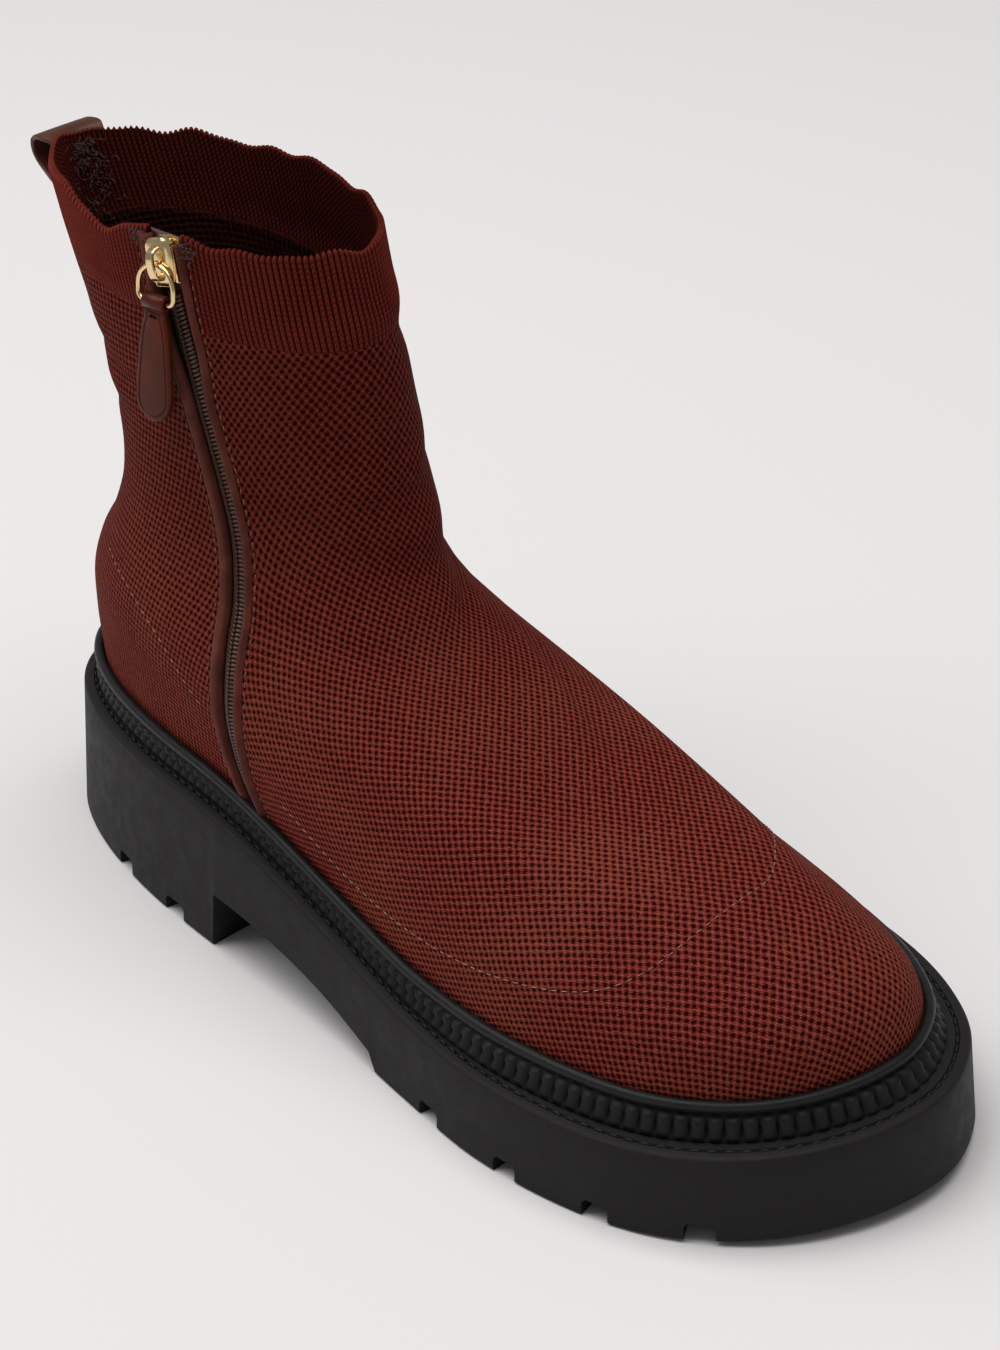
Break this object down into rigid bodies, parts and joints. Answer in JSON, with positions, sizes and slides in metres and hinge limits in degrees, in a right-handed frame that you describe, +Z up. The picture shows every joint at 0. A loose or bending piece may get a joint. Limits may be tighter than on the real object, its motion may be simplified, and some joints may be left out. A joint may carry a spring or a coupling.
{
  "type": "ankle boot",
  "caption": "Left ankle boot with a knitted sock upper, inner side zip, ribbed rubber rand and a lugged block-heel sole.",
  "frame": {"origin": "middle of the boot's bounding box in plan, on the floor that the sole stands on", "axes": "+X from heel to toe, +Y to the outer side of the foot, +Z up"},
  "size_m": [0.2908, 0.116, 0.1848],
  "materials": {
    "rubber": "matt, fine rough grain",
    "knit": "fine honeycomb knit, rib at the collar",
    "footbed": "plain dark textile",
    "leather": "smooth, lightly polished",
    "tape": "woven tape",
    "coil": "satin",
    "gold_metal": "pale gold, polished"
  },
  "bodies": {
    "boot": {"outsole": "rubber", "rand": "rubber", "upper": "knit", "insole": "footbed", "piping_front": "leather", "piping_rear": "leather", "zip_tape": "tape", "zip_coil": "coil", "zip_slider": "gold_metal", "pull_loop": "leather", "back_strip": "leather"},
    "ring": {"zip_ring": "gold_metal"},
    "tab": {"pull_tab": "leather"}
  },
  "joints": [
    {"name": "ring_swing", "type": "hinge", "parent": "boot", "child": "ring", "pos_m": [-0.0672, -0.02595, 0.17504], "axis": [-0.9955, -0.0944, 0], "range_deg": [0, 150]},
    {"name": "tab_swing", "type": "hinge", "parent": "ring", "child": "tab", "pos_m": [-0.0671, -0.02705, 0.16611], "axis": [-0.9955, -0.0944, 0], "range_deg": [0, 90]}
  ]
}
